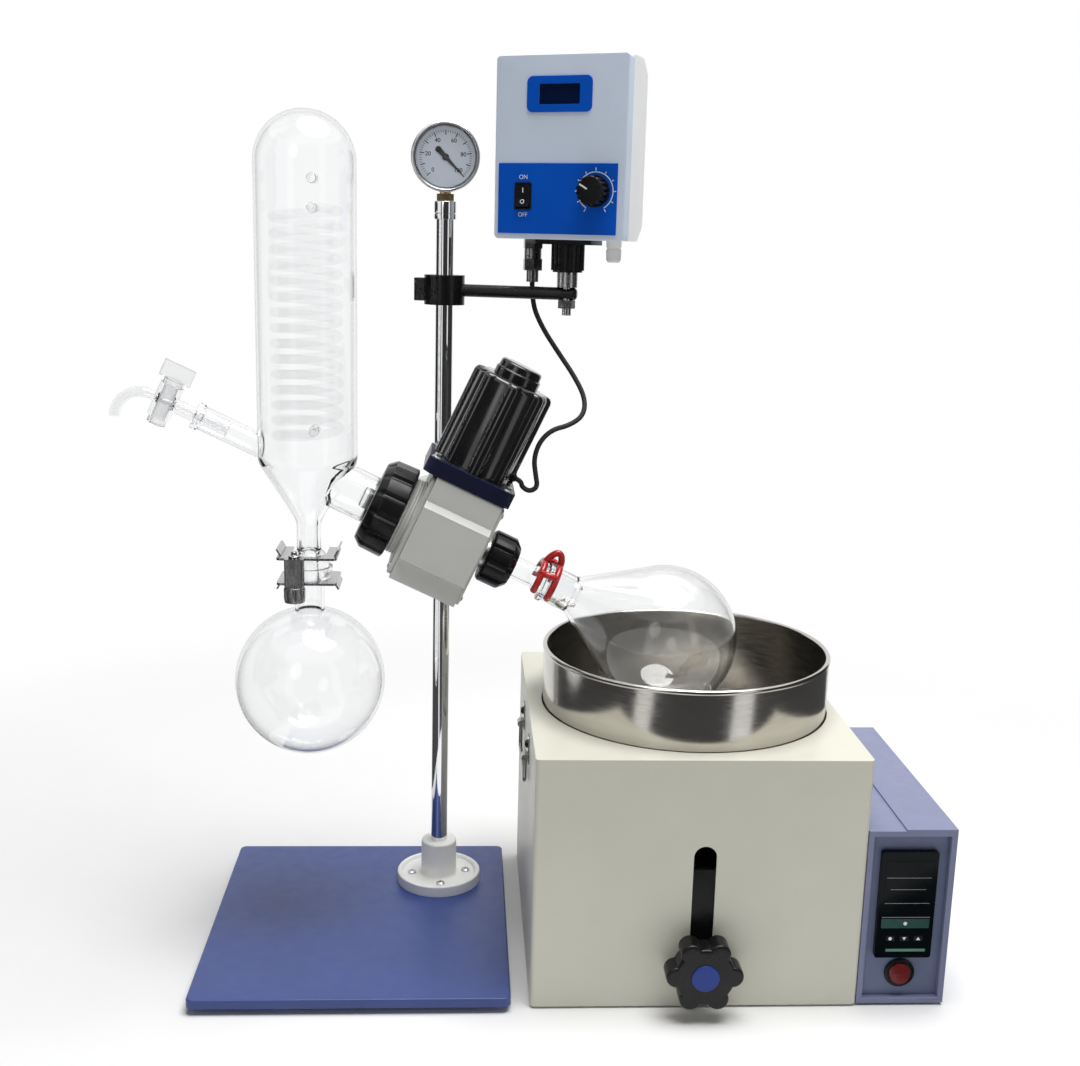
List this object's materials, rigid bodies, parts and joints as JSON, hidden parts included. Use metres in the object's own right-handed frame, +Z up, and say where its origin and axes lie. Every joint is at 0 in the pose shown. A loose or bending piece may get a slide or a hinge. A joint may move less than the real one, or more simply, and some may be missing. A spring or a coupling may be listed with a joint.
{
  "type": "rotary evaporator",
  "caption": "Bench rotary evaporator: tilted motor head on a column spins a flask above a lifting water bath, with a glass condenser, receiving flask, gauge and control box.",
  "frame": {"origin": "on the bench, below the middle of the whole set", "axes": "+Z up, the front with the lift knob towards -Y, the bath on the +X side"},
  "size_m": [0.7143, 0.3188, 0.779],
  "materials": {
    "blue_plate": "satin",
    "white_plastic": "smooth",
    "black_rubber": "matt",
    "chrome": "polished",
    "brass": "polished",
    "dial_white": "printed",
    "needle_black": "satin",
    "clear_lens": "clear",
    "black_metal": "gloss",
    "box_grey": "satin",
    "panel_blue": "satin",
    "display_dark": "gloss",
    "black_plastic": "satin",
    "gland_metal": "satin",
    "white_nylon": "satin",
    "cast_grey": "painted",
    "navy_metal": "painted",
    "motor_black": "gloss",
    "steel": "machined",
    "glass": "clear",
    "frosted_plug": "smooth",
    "red_plastic": "gloss",
    "clamp_steel": "polished",
    "cream_metal": "satin",
    "stainless": "polished",
    "blue_cap": "gloss",
    "pod_blue": "satin",
    "key_grey": "satin"
  },
  "bodies": {
    "stand": {"rubber_feet": "black_rubber", "base_plate": "blue_plate", "column_flange": "white_plastic", "column": "chrome", "column_collar": "chrome", "gauge_stem": "brass", "gauge_case": "chrome", "gauge_dial": "dial_white", "gauge_lens": "clear_lens", "arm_clamp": "black_metal", "support_arm": "black_metal", "box_stud": "chrome", "box_sleeve": "black_plastic", "control_box_body": "box_grey", "control_box_cover": "box_grey", "control_panel": "panel_blue", "display_window": "display_dark", "motor_gland": "gland_metal", "mains_inlet": "white_nylon", "bath_housing": "cream_metal", "bath_top_plate": "cream_metal", "pod_shell": "pod_blue", "pod_panel": "pod_blue", "controller_case": "black_plastic", "motor_cord": "black_rubber"},
    "head": {"head_housing": "cast_grey", "head_clamp": "cast_grey", "motor_flange": "navy_metal", "motor_body": "motor_black", "motor_end_cap": "black_plastic", "condenser_ring": "cast_grey", "condenser_nut": "black_plastic", "shaft_seal": "black_rubber", "shaft_bearings": "steel", "condenser_glass": "glass", "condenser_coil": "glass", "feed_valve": "glass", "receiving_flask": "glass", "ball_joint_clamp": "clamp_steel"},
    "rotor": {"drive_shaft": "steel", "drive_gear": "steel", "flask_nut": "black_plastic", "vapour_tube": "glass", "joint_clip": "red_plastic", "evaporating_flask": "glass"},
    "motor_shaft": {"motor_pinion": "steel"},
    "clamp_screw": {"clamp_knob": "black_plastic"},
    "feed_key": {"feed_valve_key": "frosted_plug"},
    "needle": {"gauge_needle": "needle_black"},
    "power_switch": {"power_rocker": "black_plastic"},
    "speed_control": {"speed_knob": "black_plastic"},
    "pot": {"bath_pot": "stainless", "heating_ring": "steel", "pot_carriage": "steel"},
    "lift_knob": {"star_knob": "black_plastic", "knob_cap": "blue_cap"},
    "key_one": {"set_key": "key_grey"},
    "key_two": {"down_key": "key_grey"},
    "key_three": {"up_key": "key_grey"},
    "bath_switch": {"bath_rocker": "red_plastic"}
  },
  "joints": [
    {"name": "head_height", "type": "slide", "parent": "stand", "child": "head", "axis": [0, 0, 1], "range_m": [0, 0.08], "deforming": ["motor_cord"]},
    {"name": "flask_rotation", "type": "hinge", "parent": "head", "child": "rotor", "pos_m": [-0.078, 0.014, 0.375], "axis": [0.9063, 0, -0.4226], "continuous": true},
    {"name": "motor_rotation", "type": "hinge", "parent": "head", "child": "motor_shaft", "pos_m": [-0.078, 0.014, 0.375], "axis": [0.4226, 0, 0.9063], "continuous": true},
    {"name": "clamp_screw_turn", "type": "hinge", "parent": "head", "child": "clamp_screw", "pos_m": [-0.078, 0.11, 0.375], "axis": [0, 1, 0], "range_deg": [0, 180]},
    {"name": "feed_key_turn", "type": "hinge", "parent": "head", "child": "feed_key", "pos_m": [-0.31279, 0.014, 0.48669], "axis": [0.4226, 0, 0.9063], "range_deg": [0, 180]},
    {"name": "gauge_needle_swing", "type": "hinge", "parent": "stand", "child": "needle", "pos_m": [-0.078, 0.079, 0.697], "axis": [0, -1, 0], "range_deg": [0, 270]},
    {"name": "power_rocker_tilt", "type": "hinge", "parent": "stand", "child": "power_switch", "pos_m": [-0.01155, 0.03254, 0.6645], "axis": [0.9063, -0.4226, 0], "range_deg": [0, 12]},
    {"name": "speed_knob_turn", "type": "hinge", "parent": "stand", "child": "speed_control", "pos_m": [0.04723, 0.0048, 0.669], "axis": [0.4226, 0.9063, 0], "range_deg": [0, 300]},
    {"name": "pot_lift", "type": "slide", "parent": "stand", "child": "pot", "axis": [0, 0, 1], "range_m": [0, 0.02]},
    {"name": "lift_knob_turn", "type": "hinge", "parent": "pot", "child": "lift_knob", "pos_m": [0.1435, -0.14, 0.043], "axis": [0, -1, 0], "range_deg": [0, 270]},
    {"name": "set_key_press", "type": "slide", "parent": "stand", "child": "key_one", "axis": [0, 1, 0], "range_m": [0, 0.0005], "stiffness_N_per_m": 400},
    {"name": "down_key_press", "type": "slide", "parent": "stand", "child": "key_two", "axis": [0, 1, 0], "range_m": [0, 0.0005], "stiffness_N_per_m": 400},
    {"name": "up_key_press", "type": "slide", "parent": "stand", "child": "key_three", "axis": [0, 1, 0], "range_m": [0, 0.0005], "stiffness_N_per_m": 400},
    {"name": "bath_rocker_tilt", "type": "hinge", "parent": "stand", "child": "bath_switch", "pos_m": [0.316, -0.125, 0.028], "axis": [1, 0, 0], "range_deg": [0, 12]}
  ],
  "couplings": [
    {"joint": "motor_rotation", "follows": "flask_rotation", "ratio": -3}
  ]
}
